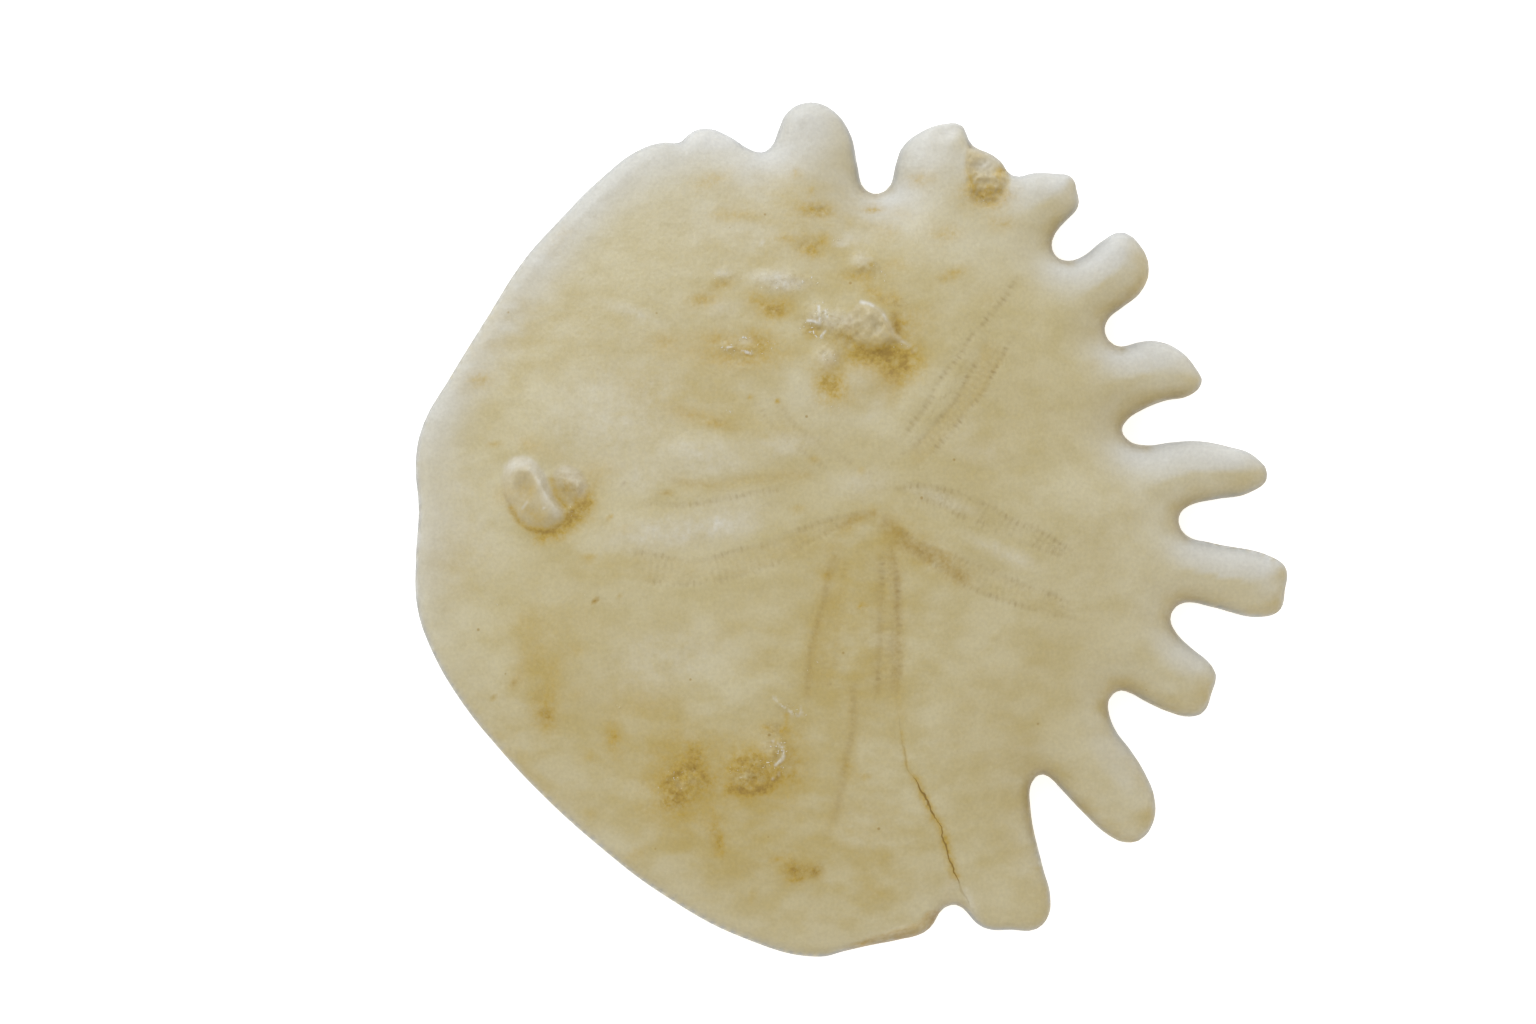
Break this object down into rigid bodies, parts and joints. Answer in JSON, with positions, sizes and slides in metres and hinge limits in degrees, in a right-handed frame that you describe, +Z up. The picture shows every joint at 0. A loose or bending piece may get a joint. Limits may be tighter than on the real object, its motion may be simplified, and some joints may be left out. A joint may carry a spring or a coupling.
{
  "type": "fossil sand dollar",
  "caption": "Flat fossil sand dollar with a smooth round front edge, finger-like lobes along its rear edge, faint petals on top and cemented lumps of rock.",
  "frame": {"origin": "centre of the bounding box's bottom, on the surface that the test rests on", "axes": "+Z up through the side with the petals; +X from the smooth front edge to the rear edge with its fingers; +Y to the left side, seen from above with the rear away from the viewer"},
  "size_m": [0.061, 0.0598, 0.0071],
  "materials": {
    "sand_dollar": "worn waxy calcite, cream with ochre stains"
  },
  "bodies": {
    "root": {"sand_dollar": "sand_dollar"}
  },
  "joints": []
}
